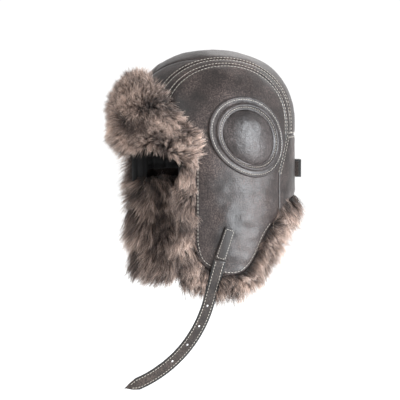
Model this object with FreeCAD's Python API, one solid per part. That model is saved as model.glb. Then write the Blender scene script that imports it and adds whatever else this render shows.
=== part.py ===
import FreeCAD, Part

import math
import os

# Trapper hat in leather and fur, millimetres.
# Origin: centre of the head opening at the level of the wearer's brow and ears.
# +Z up, the hat faces -Y, and +X is the wearer's left.

# Crown: an oval dome on a nearly upright wall
HALF_WIDTH = 88.0            # outside of the leather, across the ears
HALF_LENGTH = 107.0          # outside of the leather, brow to nape
WALL_TOP = 55.0              # where the dome starts
DOME_HEIGHT = 94.5
DOME_POWER = 2.3             # superellipse power of the dome's profile
LEATHER = 2.0
LINING = 4.5
LAYER_GAP = 0.3              # clearance between sewn layers
SEAM_GAP = 0.2

# Seams of the crown
SIDE_SEAM_X = 60.5           # side panel seam at the crown's middle
BAND_SEAM_X = 50.0           # seam between the crown band and the top panel
SEAM_SPREAD = 0.2            # how far both seams move out for each millimetre rearwards
YOKE_POINT_Y = -84.0         # point of the V seam between the front yoke and the top panel
YOKE_SLOPE = 1.21            # how far the V runs rearwards for each millimetre outwards
NAPE_SEAM_Y = 47.0           # front edge of the nape yoke at the opening
NAPE_SEAM_LEAN = 0.42
NAPE_SEAM_Z = 46.0           # upper edge of the nape yoke

# Lower edge of the crown
BROW_Z = 31.0                # lower edge over the forehead
FOLD_Z = -14.0               # fold line of the ear and nape flaps
FLAP_FRONT_Y = -67.0         # front edge of the leather beside the eyes
FLAP_REAR_Y = 47.0           # ear flap ends and the nape flap starts
FOLD_GAP = 0.4

# Fur
FUR_DEPTH = 18.0
FUR_FRONT_Y = -91.0          # the pile stands this far forward of the face opening
TEMPLE_TOP = 27.0
TEMPLE_REAR_Y = -68.0
TEMPLE_INNER_X = 46.0
VISOR_DEPTH = 27.0           # front of the visor's pile, outside the leather crown
VISOR_END_DEPTH = 11.0       # the same at the visor's two ends
VISOR_TOP_DEPTH = 26.0

# Ear patches: ovals whose long axis falls towards the nape
PATCH_Y = -0.5
PATCH_Z = 45.0
PATCH_HALF_LONG = 55.0
PATCH_HALF_SHORT = 44.3
PATCH_TILT = -34.6           # degrees, from rearwards to upwards
PAD_SHARE = 0.68             # size of the pad within the patch
RING_RISE = 3.2
PAD_RISE = 6.0

# Chin strap on the left flap
STRAP_WIDTH = 15.0
STRAP_THICK = 3.0
STRAP_STRAIGHT = 52.0
STRAP_ARC_RADIUS = 140.0
STRAP_START_ANGLE = 15.6     # degrees forward of straight down
STRAP_END_ANGLE = 75.0
STRAP_SPLIT = 66.0           # where the strap bends below the flap, measured along it
STRAP_GAP = 0.4
STRAP_FREE = 1.0             # the free strap starts this far past its sewn end
HOLE_RADIUS = 2.0
HOLE_PLACES = (56.0, 82.0, 108.0, 134.0)
TIP_LENGTH = 14.0
ANCHOR_TOP = (-27.0, -62.0)  # Y and Z of the sewn end
ANCHOR_END = (-39.0, -99.0)

# Buckle on the right flap
BUCKLE_Y = -14.0
BUCKLE_STRAP_TOP = -58.0
BUCKLE_STRAP_END = -94.0
BAR_DROP = 4.0
BAR_RADIUS = 1.2
BAR_BORE = 1.6
FRAME_HALF = 11.0
FRAME_DROP = 21.0
RAIL_RADIUS = 1.5
PRONG_RADIUS = 0.9
KEEPER_Z = -84.0
KEEPER_HEIGHT = 6.0
KEEPER_GAP = 4.6

# Nape adjuster
ADJUST_CENTRE_Y = HALF_LENGTH - HALF_WIDTH ** 2 / HALF_LENGTH
ADJUST_RADIUS = 76.0
ADJUST_THICK = 2.0
ADJUST_LOW = -6.0
ADJUST_HIGH = 12.0
ADJUST_HALF_ANGLE = 38.0
SLIDER_ANGLE = 26.0
SLIDER_SPAN = 12.0           # degrees of arc covered by the slide buckle

FAR = 400.0


def vec(x, y, z):
    return FreeCAD.Vector(x, y, z)


def box(x0, x1, y0, y1, z0, z1):
    return Part.makeBox(x1 - x0, y1 - y0, z1 - z0, vec(x0, y0, z0))


def rod(x, y0, y1, z, radius):
    """Cylinder along Y."""
    return Part.makeCylinder(radius, y1 - y0, vec(x, y0, z), vec(0, 1, 0))


def side_prism(outline, x0, x1):
    """Closed outline of (y, z) points, carried across X."""
    wire = Part.makePolygon([vec(x0, y, z) for y, z in outline + outline[:1]])
    return Part.Face(wire).extrude(vec(x1 - x0, 0, 0))


def mirrored(shape):
    return shape.mirror(vec(0, 0, 0), vec(1, 0, 0))


def dome(offset):
    """Crown shape moved inwards by the offset."""
    return oval_dome(HALF_WIDTH - offset, HALF_LENGTH - offset, DOME_HEIGHT - offset)


def oval_dome(half_width, half_length, height):
    """Superellipse dome on an upright oval wall, down to below the fold line."""
    radius = 100.0
    low = FOLD_Z - 20.0
    heights = [i / 8.0 for i in range(8)]
    points = [
        vec(radius * (1.0 - t ** DOME_POWER) ** (1.0 / DOME_POWER), 0, WALL_TOP + height * t)
        for t in heights + [0.94, 0.98, 1.0]
    ]
    curve = Part.BSplineCurve()
    curve.interpolate(Points=points, InitialTangent=vec(0, 0, 1), FinalTangent=vec(-1, 0, 0))
    edges = [
        Part.makeLine(vec(0, 0, low), vec(radius, 0, low)),
        Part.makeLine(vec(radius, 0, low), points[0]),
        curve.toShape(),
        Part.makeLine(points[-1], vec(0, 0, low)),
    ]
    body = Part.Face(Part.Wire(edges)).revolve(vec(0, 0, 0), vec(0, 0, 1), 360)
    scale = FreeCAD.Matrix()
    scale.scale(half_width / radius, half_length / radius, 1.0)
    return body.transformGeometry(scale)


def oval_wall(offset, z0, z1):
    """Upright oval cylinder, moved inwards by the offset."""
    oval = Part.Ellipse(vec(0, HALF_LENGTH - offset, z0), vec(HALF_WIDTH - offset, 0, z0), vec(0, 0, z0))
    return Part.Face(Part.Wire(oval.toShape())).extrude(vec(0, 0, z1 - z0))


def wall_layer(outer, inner, z0, z1):
    return oval_wall(outer, z0, z1).cut(oval_wall(inner, z0 - 1.0, z1 + 1.0))


def crown_layer(outer, inner):
    """Shell between two offsets, trimmed to the crown's lower edge."""
    shell = dome(outer).cut(dome(inner))
    below = box(-FAR, FAR, -FAR, FAR, -FAR, FOLD_Z)
    face = box(-FAR, FAR, -FAR, FLAP_FRONT_Y, -FAR, BROW_Z)
    return shell.cut(below).cut(face)


def plan_prism(outline):
    """Closed outline of (x, y) points, carried up and down."""
    wire = Part.makePolygon([vec(x, y, -FAR) for x, y in outline + outline[:1]])
    return Part.Face(wire).extrude(vec(0, 0, 2 * FAR))


def outside_seam(seam_x, gap):
    """Everything on +X of a front-to-back seam that spreads towards the nape."""
    front = seam_x - SEAM_SPREAD * FAR + gap
    rear = seam_x + SEAM_SPREAD * FAR + gap
    return plan_prism([(front, -FAR), (FAR, -FAR), (FAR, FAR), (rear, FAR)])


def yoke_region(gap):
    """Everything in front of the V seam of the front yoke."""
    rear = YOKE_POINT_Y + YOKE_SLOPE * FAR - gap
    return plan_prism([(0, YOKE_POINT_Y - gap), (FAR, rear), (FAR, -FAR), (-FAR, -FAR), (-FAR, rear)])


def nape_region(gap):
    """Everything behind the leaning nape seam and below its upper edge."""
    outline = [
        (NAPE_SEAM_Y + NAPE_SEAM_LEAN * -FAR + gap, -FAR),
        (FAR, -FAR),
        (FAR, NAPE_SEAM_Z - gap),
        (NAPE_SEAM_Y + NAPE_SEAM_LEAN * NAPE_SEAM_Z + gap, NAPE_SEAM_Z - gap),
    ]
    return side_prism(outline, -FAR, FAR)


def crown_panels():
    """The leather shell of the crown, cut along its seams."""
    half = SEAM_GAP / 2
    shell = crown_layer(0, LEATHER)
    nape_yoke = shell.common(nape_region(half))
    rest = shell.cut(nape_region(-half))
    side = rest.common(outside_seam(SIDE_SEAM_X, half))
    band = rest.cut(outside_seam(SIDE_SEAM_X, -half)).common(outside_seam(BAND_SEAM_X, half))
    middle = rest.cut(outside_seam(BAND_SEAM_X, -half)).cut(mirrored(outside_seam(BAND_SEAM_X, -half)))
    return {
        "side_panel_left": side,
        "side_panel_right": mirrored(side),
        "crown_band_left": band,
        "crown_band_right": mirrored(band),
        "top_panel": middle.cut(yoke_region(-half)),
        "front_yoke": middle.common(yoke_region(half)),
        "nape_yoke": nape_yoke,
    }


def crown_lining():
    outer = LEATHER + LAYER_GAP
    return crown_layer(outer, outer + LINING)


def patch_region(share):
    """Tilted oval seen from the side, as a share of the patch's size, carried outwards."""
    tilt = math.radians(PATCH_TILT)
    long_end = vec(0, PATCH_Y + share * PATCH_HALF_LONG * math.cos(tilt),
                   PATCH_Z + share * PATCH_HALF_LONG * math.sin(tilt))
    short_end = vec(0, PATCH_Y - share * PATCH_HALF_SHORT * math.sin(tilt),
                    PATCH_Z + share * PATCH_HALF_SHORT * math.cos(tilt))
    oval = Part.Ellipse(long_end, short_end, vec(0, PATCH_Y, PATCH_Z))
    return Part.Face(Part.Wire(oval.toShape())).extrude(vec(FAR, 0, 0))


def patch_layer(rise):
    """Layer of the given thickness on the outside of the crown."""
    return dome(-LAYER_GAP - rise).cut(dome(-LAYER_GAP))


def temple_fur():
    """Fur beside the eyes, above the fold line and in front of the leather."""
    return fur_band(FOLD_Z, TEMPLE_TOP).common(box(TEMPLE_INNER_X, FAR, -FAR, TEMPLE_REAR_Y, -FAR, FAR))


def fur_band(z0, z1):
    """Inner fur of one side, with the pile standing forward of the leather."""
    lining_side = LEATHER + LAYER_GAP + (LINING + LAYER_GAP if z1 > FOLD_Z + 1.0 else 0.0)
    layer = wall_layer(lining_side, lining_side + FUR_DEPTH, z0, z1)
    side = layer.common(box(0, FAR, FLAP_FRONT_Y, FLAP_REAR_Y, -FAR, FAR))
    section = layer.common(box(0, FAR, FLAP_FRONT_Y, FLAP_FRONT_Y + 1.0, z0, z1)).BoundBox
    front = box(section.XMin + 3.0, section.XMax - 1.0, FUR_FRONT_Y, FLAP_FRONT_Y + 1.0, z0, z1)
    return side.fuse(front).removeSplitter()


def smooth_region(start, points, end, x0, x1):
    """Area above a smooth lower edge through the points, carried across X."""
    curve = Part.BSplineCurve()
    curve.interpolate(Points=[vec(x0, y, z) for y, z in points])
    edges = [
        Part.makeLine(vec(x0, start[0], start[1]), curve.StartPoint),
        curve.toShape(),
        Part.makeLine(curve.EndPoint, vec(x0, end[0], end[1])),
        Part.makeLine(vec(x0, end[0], end[1]), vec(x0, start[0], start[1])),
    ]
    return Part.Face(Part.Wire(edges)).extrude(vec(x1 - x0, 0, 0))


def ear_flap_leather():
    top = FOLD_Z - FOLD_GAP
    edge = [
        (FLAP_FRONT_Y, -78.0), (-61.0, -101.0), (-47.0, -113.0), (-29.0, -119.5), (-11.0, -117.0),
        (5.0, -102.0), (25.0, -71.0), (FLAP_REAR_Y - FOLD_GAP, -50.0),
    ]
    region = smooth_region((FLAP_FRONT_Y, top), edge, (FLAP_REAR_Y - FOLD_GAP, top), 0, FAR)
    return wall_layer(0, LEATHER, -200.0, 0).common(region)


def ear_flap_fur():
    top = FOLD_Z - FOLD_GAP
    edge = [
        (FUR_FRONT_Y, -92.0), (-84.0, -122.0), (-62.0, -142.0), (-30.0, -149.0), (5.0, -144.0),
        (32.0, -122.0), (FLAP_REAR_Y - FOLD_GAP, -92.0),
    ]
    region = smooth_region((FUR_FRONT_Y, top), edge, (FLAP_REAR_Y - FOLD_GAP, top), 0, FAR)
    return fur_band(-200.0, top).common(region)


def nape_flap(outer, inner, centre_low, side_low):
    """Curved curtain behind the ears, deeper at its two sides."""
    top = FOLD_Z - FOLD_GAP
    layer = wall_layer(outer, inner, -200.0, top)
    outline = [(FLAP_REAR_Y + FOLD_GAP, top), (FLAP_REAR_Y + FOLD_GAP, side_low),
               (FLAP_REAR_Y + 28.0, centre_low), (FAR, centre_low), (FAR, top)]
    return layer.common(side_prism(outline, -FAR, FAR))


def visor_layer(outer, inner, low, inset):
    """Turned-up front flap between two domes, with slanting ends and a rounded top."""
    layer = outer.cut(inner)
    edge = [(-66.0 - inset, low), (-69.0 - inset, 46.0), (-79.0 - inset, 67.0), (-91.0 - inset, 95.0 - inset),
            (-99.0 - inset, 108.0 - inset), (-140.0, 114.0 - inset)]
    curve = Part.BSplineCurve()
    curve.interpolate(Points=[vec(-FAR, y, z) for y, z in edge])
    corner = vec(-FAR, -140.0, low)
    edges = [curve.toShape(), Part.makeLine(curve.EndPoint, corner), Part.makeLine(corner, curve.StartPoint)]
    return layer.common(Part.Face(Part.Wire(edges)).extrude(vec(2 * FAR, 0, 0)))


def strap_frame():
    """Placement of the chin strap: X outwards, Y rearwards along the flap, Z up."""
    y, z = ANCHOR_END
    x = HALF_WIDTH * math.sqrt(1.0 - (y / HALF_LENGTH) ** 2)
    normal = vec(x / HALF_WIDTH ** 2, y / HALF_LENGTH ** 2, 0).normalize()
    matrix = FreeCAD.Matrix(
        normal.x, -normal.y, 0, x,
        normal.y, normal.x, 0, y,
        0, 0, 1, z,
        0, 0, 0, 1,
    )
    return FreeCAD.Placement(matrix)


def strap_point(along, aside):
    """Point of the flat strap, by distance along its middle and towards its front edge."""
    start = math.radians(STRAP_START_ANGLE)
    angle = start
    ahead = math.sin(start) * min(along, STRAP_STRAIGHT)
    z = -math.cos(start) * min(along, STRAP_STRAIGHT)
    if along > STRAP_STRAIGHT:
        angle += (along - STRAP_STRAIGHT) / STRAP_ARC_RADIUS
        ahead += STRAP_ARC_RADIUS * (math.cos(start) - math.cos(angle))
        z -= STRAP_ARC_RADIUS * (math.sin(angle) - math.sin(start))
    return vec(LAYER_GAP, -ahead - aside * math.cos(angle), z + aside * math.sin(angle))


def strap_length():
    turn = math.radians(STRAP_END_ANGLE - STRAP_START_ANGLE)
    return STRAP_STRAIGHT + STRAP_ARC_RADIUS * turn


def strap_plate():
    """The whole free strap, lying flat: straight, then curving forward to a pointed end."""
    half = STRAP_WIDTH / 2
    shoulder = strap_length() - TIP_LENGTH
    middle = (STRAP_STRAIGHT + shoulder) / 2
    corners, bends, mids, shoulders = [
        [strap_point(along, aside) for aside in (-half, half)]
        for along in (STRAP_FREE, STRAP_STRAIGHT, middle, shoulder)
    ]
    tip = strap_point(strap_length(), 0)
    edges = [
        Part.makeLine(corners[0], corners[1]),
        Part.makeLine(corners[1], bends[1]),
        Part.Arc(bends[1], mids[1], shoulders[1]).toShape(),
        Part.makeLine(shoulders[1], tip),
        Part.makeLine(tip, shoulders[0]),
        Part.Arc(shoulders[0], mids[0], bends[0]).toShape(),
        Part.makeLine(bends[0], corners[0]),
    ]
    plate = Part.Face(Part.Wire(edges)).extrude(vec(STRAP_THICK, 0, 0))
    for place in HOLE_PLACES:
        centre = strap_point(place, 0) - vec(1, 0, 0)
        plate = plate.cut(Part.makeCylinder(HOLE_RADIUS, STRAP_THICK + 2, centre, vec(1, 0, 0)))
    return plate


def above_split(gap):
    """Region of the flat strap down to its bend, less the gap."""
    corners = [strap_point(along, aside) - vec(1, 0, 0)
               for along, aside in ((-5.0, -20.0), (-5.0, 20.0), (STRAP_SPLIT - gap, 20.0), (STRAP_SPLIT - gap, -20.0))]
    return Part.Face(Part.makePolygon(corners + corners[:1])).extrude(vec(STRAP_THICK + 2, 0, 0))


def strap_halves():
    """Upper and lower lengths of the strap, hung from the left flap."""
    plate = strap_plate()
    upper = plate.common(above_split(STRAP_GAP / 2))
    lower = plate.cut(above_split(-STRAP_GAP / 2))
    for half in (upper, lower):
        half.Placement = strap_frame()
    return upper, lower


def strap_anchor():
    """Sewn end of the chin strap on the left flap."""
    layer = wall_layer(-LAYER_GAP - STRAP_THICK, -LAYER_GAP, -150.0, 0)
    down = (vec(0, *ANCHOR_END) - vec(0, *ANCHOR_TOP)).normalize()
    aside_y = -down.z * STRAP_WIDTH / 2
    aside_z = down.y * STRAP_WIDTH / 2
    outline = [(y + turn * aside_y, z + turn * aside_z)
               for (y, z), turn in ((ANCHOR_TOP, -1), (ANCHOR_TOP, 1), (ANCHOR_END, 1), (ANCHOR_END, -1))]
    return layer.common(side_prism(outline, 0, FAR))


def bar_place():
    """X and Z of the buckle's pivot bar, on the left before mirroring."""
    return HALF_WIDTH + 3.0, BUCKLE_STRAP_END - BAR_DROP


def buckle_strap():
    half = STRAP_WIDTH / 2
    x, z = bar_place()
    layer = wall_layer(-LAYER_GAP - STRAP_THICK, -LAYER_GAP, -150.0, 0)
    strap = layer.common(box(0, FAR, BUCKLE_Y - half, BUCKLE_Y + half, BUCKLE_STRAP_END, BUCKLE_STRAP_TOP))
    web = box(HALF_WIDTH + 0.6, HALF_WIDTH + 3.6, BUCKLE_Y - half, BUCKLE_Y + half, z, BUCKLE_STRAP_END + 1.5)
    loop = rod(x, BUCKLE_Y - half, BUCKLE_Y + half, z, 3.0)
    slot = box(0, FAR, BUCKLE_Y - 2.0, BUCKLE_Y + 2.0, z - 4.0, BUCKLE_STRAP_END - 0.6)
    bore = rod(x, BUCKLE_Y - FAR, BUCKLE_Y + FAR, z, BAR_BORE)
    return mirrored(strap.fuse(web).fuse(loop).cut(slot).cut(bore).removeSplitter())


def keeper_loop():
    """Flat leather loop that holds down the end of the chin strap."""
    half = STRAP_WIDTH / 2 + 1.0
    inner = HALF_WIDTH + LAYER_GAP + STRAP_THICK + KEEPER_GAP
    outer = box(HALF_WIDTH + 0.4, inner + 1.5, BUCKLE_Y - half - 1.5, BUCKLE_Y + half + 1.5,
                KEEPER_Z, KEEPER_Z + KEEPER_HEIGHT)
    window = box(0, inner, BUCKLE_Y - half, BUCKLE_Y + half, -FAR, FAR)
    return mirrored(outer.cut(window))


def buckle_frame():
    x, z = bar_place()
    low = z - FRAME_DROP
    shape = rod(x, BUCKLE_Y - FRAME_HALF, BUCKLE_Y + FRAME_HALF, z, BAR_RADIUS)
    shape = shape.fuse(rod(x, BUCKLE_Y - FRAME_HALF, BUCKLE_Y + FRAME_HALF, low, RAIL_RADIUS))
    for y in (BUCKLE_Y - FRAME_HALF, BUCKLE_Y + FRAME_HALF):
        shape = shape.fuse(Part.makeCylinder(RAIL_RADIUS, FRAME_DROP, vec(x, y, low), vec(0, 0, 1)))
        for end in (low, z):
            shape = shape.fuse(Part.makeSphere(RAIL_RADIUS, vec(x, y, end)))
    return mirrored(shape.removeSplitter())


def buckle_prong():
    x, z = bar_place()
    ring = rod(x, BUCKLE_Y - 1.5, BUCKLE_Y + 1.5, z, 2.6)
    start = vec(x + 2.0, BUCKLE_Y, z - 1.0)
    end = vec(x + RAIL_RADIUS + PRONG_RADIUS + 0.3, BUCKLE_Y, z - FRAME_DROP - 1.0)
    pin = Part.makeCylinder(PRONG_RADIUS, (end - start).Length, start, end - start)
    ball = Part.makeSphere(PRONG_RADIUS, end)
    bore = rod(x, BUCKLE_Y - FAR, BUCKLE_Y + FAR, z, BAR_RADIUS + 0.3)
    return mirrored(ring.fuse(pin).fuse(ball).cut(bore).removeSplitter())


def arc_plate(radius, thick, angle0, angle1, z0, z1):
    """Part of a ring round the adjuster's centre; angles run from the middle of the nape towards +X."""
    ring = Part.makeCylinder(radius + thick, z1 - z0, vec(0, ADJUST_CENTRE_Y, z0), vec(0, 0, 1), angle1 - angle0)
    core = Part.makeCylinder(radius, z1 - z0, vec(0, ADJUST_CENTRE_Y, z0), vec(0, 0, 1))
    plate = ring.cut(core)
    plate.rotate(vec(0, ADJUST_CENTRE_Y, 0), vec(0, 0, 1), 90.0 - angle1)
    return plate


def adjuster_strap():
    """Strap across the nape, its two folded ends sewn down."""
    strap = arc_plate(ADJUST_RADIUS, ADJUST_THICK, -ADJUST_HALF_ANGLE, ADJUST_HALF_ANGLE, ADJUST_LOW, ADJUST_HIGH)
    for sign in (-1, 1):
        ends = sorted((sign * (ADJUST_HALF_ANGLE - 5.0), sign * ADJUST_HALF_ANGLE))
        strap = strap.fuse(arc_plate(ADJUST_RADIUS - 2.2, 2.4, ends[0], ends[1], ADJUST_LOW, ADJUST_HIGH))
    return strap.removeSplitter()


def adjuster_buckle():
    """Slide buckle: a face plate whose lips hook behind the strap."""
    start = SLIDER_ANGLE - SLIDER_SPAN / 2
    end = SLIDER_ANGLE + SLIDER_SPAN / 2
    low = ADJUST_LOW - 2.0
    high = ADJUST_HIGH + 2.0
    shape = arc_plate(ADJUST_RADIUS + ADJUST_THICK + 0.3, 3.0, start, end, low, high)
    for z0, z1, lip0, lip1 in ((low, ADJUST_LOW - 0.4, low, ADJUST_LOW + 3.0),
                               (ADJUST_HIGH + 0.4, high, ADJUST_HIGH - 3.0, high)):
        shape = shape.fuse(arc_plate(ADJUST_RADIUS - 1.7, 5.0, start, end, z0, z1))
        shape = shape.fuse(arc_plate(ADJUST_RADIUS - 1.7, 1.4, start, end, lip0, lip1))
    return shape.removeSplitter()


def export(name, shape):
    shape.exportStep("parts/" + name + ".step")
    print(name, "solids", len(shape.Solids), "volume", round(shape.Volume), "valid", shape.isValid())


def main():
    os.makedirs("parts", exist_ok=True)
    for name, shape in crown_panels().items():
        export(name, shape)
    export("crown_lining", crown_lining())
    side_parts = {
        "ear_ring": patch_layer(RING_RISE).common(patch_region(1.0).cut(patch_region(PAD_SHARE + 0.005))),
        "ear_pad": patch_layer(PAD_RISE).common(patch_region(PAD_SHARE)),
        "temple_fur": temple_fur(),
        "ear_flap_leather": ear_flap_leather(),
        "ear_flap_fur": ear_flap_fur(),
    }
    for name, shape in side_parts.items():
        export(name + "_left", shape)
        export(name + "_right", mirrored(shape))
    export("nape_flap_leather", nape_flap(0, LEATHER, -31.0, -48.0))
    export("nape_flap_fur", nape_flap(LEATHER + LAYER_GAP, LEATHER + LAYER_GAP + FUR_DEPTH, -74.0, -96.0))
    export("visor_backing", visor_layer(dome(-LAYER_GAP - LEATHER), dome(-LAYER_GAP), BROW_Z, 10.0))
    pile = oval_dome(HALF_WIDTH + VISOR_END_DEPTH, HALF_LENGTH + VISOR_DEPTH, DOME_HEIGHT + VISOR_TOP_DEPTH)
    export("visor_fur", visor_layer(pile, dome(-LEATHER - 2 * LAYER_GAP), BROW_Z, 0.0))
    export("chin_strap_anchor", strap_anchor())
    upper, lower = strap_halves()
    export("chin_strap_upper", upper)
    export("chin_strap_lower", lower)
    export("buckle_strap", buckle_strap())
    export("keeper_loop", keeper_loop())
    export("buckle_frame", buckle_frame())
    export("buckle_prong", buckle_prong())
    export("adjuster_strap", adjuster_strap())
    export("adjuster_buckle", adjuster_buckle())


main()
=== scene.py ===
import math

import bmesh
import bpy
import numpy as np
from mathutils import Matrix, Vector, kdtree, noise
from mathutils.geometry import delaunay_2d_cdt


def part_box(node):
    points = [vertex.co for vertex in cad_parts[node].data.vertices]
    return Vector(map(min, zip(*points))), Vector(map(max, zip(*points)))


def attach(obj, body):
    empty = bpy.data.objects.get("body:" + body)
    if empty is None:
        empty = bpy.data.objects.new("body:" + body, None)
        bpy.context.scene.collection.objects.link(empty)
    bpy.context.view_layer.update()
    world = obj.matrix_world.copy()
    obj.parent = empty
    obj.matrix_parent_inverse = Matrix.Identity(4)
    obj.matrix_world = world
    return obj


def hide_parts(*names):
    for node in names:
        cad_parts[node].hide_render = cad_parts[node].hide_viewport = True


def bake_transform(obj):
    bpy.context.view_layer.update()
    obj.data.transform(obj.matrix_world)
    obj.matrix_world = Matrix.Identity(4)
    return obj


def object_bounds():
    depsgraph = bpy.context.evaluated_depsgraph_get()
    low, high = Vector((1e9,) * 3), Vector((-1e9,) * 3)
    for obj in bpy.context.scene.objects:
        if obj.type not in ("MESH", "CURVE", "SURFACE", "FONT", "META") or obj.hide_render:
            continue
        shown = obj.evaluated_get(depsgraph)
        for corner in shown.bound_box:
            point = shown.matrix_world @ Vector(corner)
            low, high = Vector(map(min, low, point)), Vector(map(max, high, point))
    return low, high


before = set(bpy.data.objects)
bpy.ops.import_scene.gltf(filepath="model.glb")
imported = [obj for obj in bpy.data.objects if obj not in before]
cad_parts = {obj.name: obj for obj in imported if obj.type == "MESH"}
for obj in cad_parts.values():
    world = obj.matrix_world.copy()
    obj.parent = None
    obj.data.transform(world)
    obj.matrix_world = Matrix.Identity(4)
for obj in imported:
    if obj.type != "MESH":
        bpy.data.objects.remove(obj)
cad_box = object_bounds()

# Trapper hat. Lengths below are in millimetres, and objects are made in metres.
# The hat faces -Y, and +X is the wearer's left.
MM = 0.001


def node_low(node):
    return np.array(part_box(node)[0]) / MM


def node_high(node):
    return np.array(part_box(node)[1]) / MM


# The crown is an upright oval wall with a dome on it.
HALF_WIDTH = node_high("side_panel_left")[0]
HALF_LENGTH = node_high("nape_yoke")[1]
TOP_Z = node_high("top_panel")[2]
WALL_TOP = 55.0
DOME_HEIGHT = TOP_Z - WALL_TOP
DOME_POWER = 2.3
LEATHER = 2.0

FOLD_Z = node_low("side_panel_left")[2]
BROW_Z = node_low("visor_fur")[2]
FLAP_FRONT_Y = node_low("ear_flap_leather_left")[1]
FLAP_REAR_Y = node_high("ear_flap_leather_left")[1] + 0.4
FUR_FRONT_Y = node_low("ear_flap_fur_left")[1]
BEND_START_Z = FOLD_Z + 9.0
BEND_END_Z = FOLD_Z - 10.0

# Seams: x of the fore-and-aft ones at y = 0 and their spread to the rear, then the V of the front
# yoke, then the nape yoke's front seam as y at z = 0 and its lean.
SIDE_SEAM_X = 60.5
BAND_SEAM_X = 50.0
SEAM_SPREAD = 0.2
YOKE_POINT_Y = -84.0
YOKE_SLOPE = 1.21
NAPE_SEAM = (47.0, 0.42)
NAPE_SEAM_Z = node_high("nape_yoke")[2]

SIDES = ((1, "left"), (-1, "right"))

rng = np.random.default_rng(7)


# ---- camera

CAMERA_AZIMUTH = math.radians(60.0)
CAMERA_ELEVATION = math.radians(5.0)
PICTURE_WIDTH = 0.5


def link_object(name, data):
    thing = bpy.data.objects.new(name, data)
    bpy.context.scene.collection.objects.link(thing)
    return thing


def make_camera():
    """Camera at the left front and a little above. Its places are in metres."""
    back = Vector((math.sin(CAMERA_AZIMUTH) * math.cos(CAMERA_ELEVATION),
                   -math.cos(CAMERA_AZIMUTH) * math.cos(CAMERA_ELEVATION), math.sin(CAMERA_ELEVATION)))
    right = Vector((math.cos(CAMERA_AZIMUTH), math.sin(CAMERA_AZIMUTH), 0))
    target = right * -0.016 + Vector((0, 0, -0.036))
    data = bpy.data.cameras.new("camera")
    data.lens = 110.0
    data.sensor_width = 36.0
    distance = PICTURE_WIDTH * data.lens / data.sensor_width
    camera = link_object("camera", data)
    camera.location = target + back * distance
    camera.rotation_euler = (-back).to_track_quat("-Z", "Y").to_euler()
    bpy.context.scene.camera = camera


# ---- shape of the crown

def oval_factor(z):
    """Share of the wall's plan size that the dome has at height z."""
    t = np.clip((np.asarray(z, float) - WALL_TOP) / DOME_HEIGHT, 0.0, 1.0)
    return (1.0 - t ** DOME_POWER) ** (1.0 / DOME_POWER)


def crown_normal(points):
    """Outward unit normals of the crown at points on it."""
    x, y, z = points.T
    rho = np.sqrt((x / HALF_WIDTH) ** 2 + (y / HALF_LENGTH) ** 2) + 1e-9
    t = np.clip((z - WALL_TOP) / DOME_HEIGHT, 0.0, 1.0)
    normal = np.stack([
        rho ** (DOME_POWER - 2) * x / HALF_WIDTH ** 2,
        rho ** (DOME_POWER - 2) * y / HALF_LENGTH ** 2,
        t ** (DOME_POWER - 1) / DOME_HEIGHT,
    ], 1)
    return normal / np.linalg.norm(normal, axis=1, keepdims=True)


def moved_out(points, offset):
    """Points on the crown, moved out along its normals."""
    flat = points.reshape(-1, 3).astype(float)
    return (flat + crown_normal(flat) * np.asarray(offset).reshape(-1, 1)).reshape(points.shape)


def wall_points(phi, z, offset=0.0):
    """Points on the crown by plan angle and height, moved out by the offset."""
    phi, z, offset = np.broadcast_arrays(phi, z, offset)
    factor = oval_factor(z)
    points = np.stack([HALF_WIDTH * factor * np.cos(phi), HALF_LENGTH * factor * np.sin(phi), z], -1)
    return moved_out(points, offset)


def side_points(y, z, side, offset=0.0):
    """Points on one side of the crown, by y and z, moved out by the offset."""
    y = np.asarray(y, float)
    z = np.asarray(z, float)
    x = HALF_WIDTH * np.sqrt(np.clip(oval_factor(z) ** 2 - (y / HALF_LENGTH) ** 2, 0.0, 1.0))
    return moved_out(np.stack([side * x, y, z], -1), offset)


# ---- curves

def smooth_curve(points, count=200):
    """Catmull-Rom curve through the points."""
    points = np.asarray(points, float)
    padded = np.vstack([2 * points[0] - points[1], points, 2 * points[-1] - points[-2]])
    places = np.linspace(0, len(points) - 1.000001, count)
    i = places.astype(int)
    t = (places - i)[:, None]
    p0, p1, p2, p3 = padded[i], padded[i + 1], padded[i + 2], padded[i + 3]
    return 0.5 * (2 * p1 + (p2 - p0) * t + (2 * p0 - 5 * p1 + 4 * p2 - p3) * t ** 2
                  + (3 * p1 - p0 - 3 * p2 + p3) * t ** 3)


def value_on(curve, place):
    """Second value of a curve of pairs, where its first value is the place."""
    return np.interp(place, curve[:, 0], curve[:, 1])


def length_along(line):
    """Distance of each point from the start of its line."""
    return np.concatenate([[0], np.cumsum(np.linalg.norm(np.diff(line, axis=0), axis=1))])


def points_along(places, along, line):
    """Points of a line at the given distances from its start."""
    return np.stack([np.interp(places, along, line[:, k]) for k in range(3)], -1)


def even_curve(line, pitch):
    """The same line with points an even distance apart, about the pitch."""
    along = length_along(line)
    count = max(2, int(round(along[-1] / pitch)) + 1)
    return points_along(np.linspace(0, along[-1], count), along, line)


def unit(v):
    return v / (np.linalg.norm(v, axis=1, keepdims=True) + 1e-9)


# Lower edge of the leather as (y, z)
FLAP_EDGE = smooth_curve([
    (FLAP_FRONT_Y, -78.0), (-61.0, -101.0), (-47.0, -113.0), (-29.0, -119.5), (-11.0, -117.0),
    (5.0, -102.0), (25.0, -71.0), (FLAP_REAR_Y, -50.0)])
NAPE_EDGE = smooth_curve([(FLAP_REAR_Y, -49.0), (62.0, -39.0), (80.0, -32.0), (HALF_LENGTH, -31.0)])


def leather_low(y):
    """Lower edge of the leather at plan depth y, behind the face opening."""
    return np.where(y <= FLAP_REAR_Y, value_on(FLAP_EDGE, y), value_on(NAPE_EDGE, y))


# ---- making meshes

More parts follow.
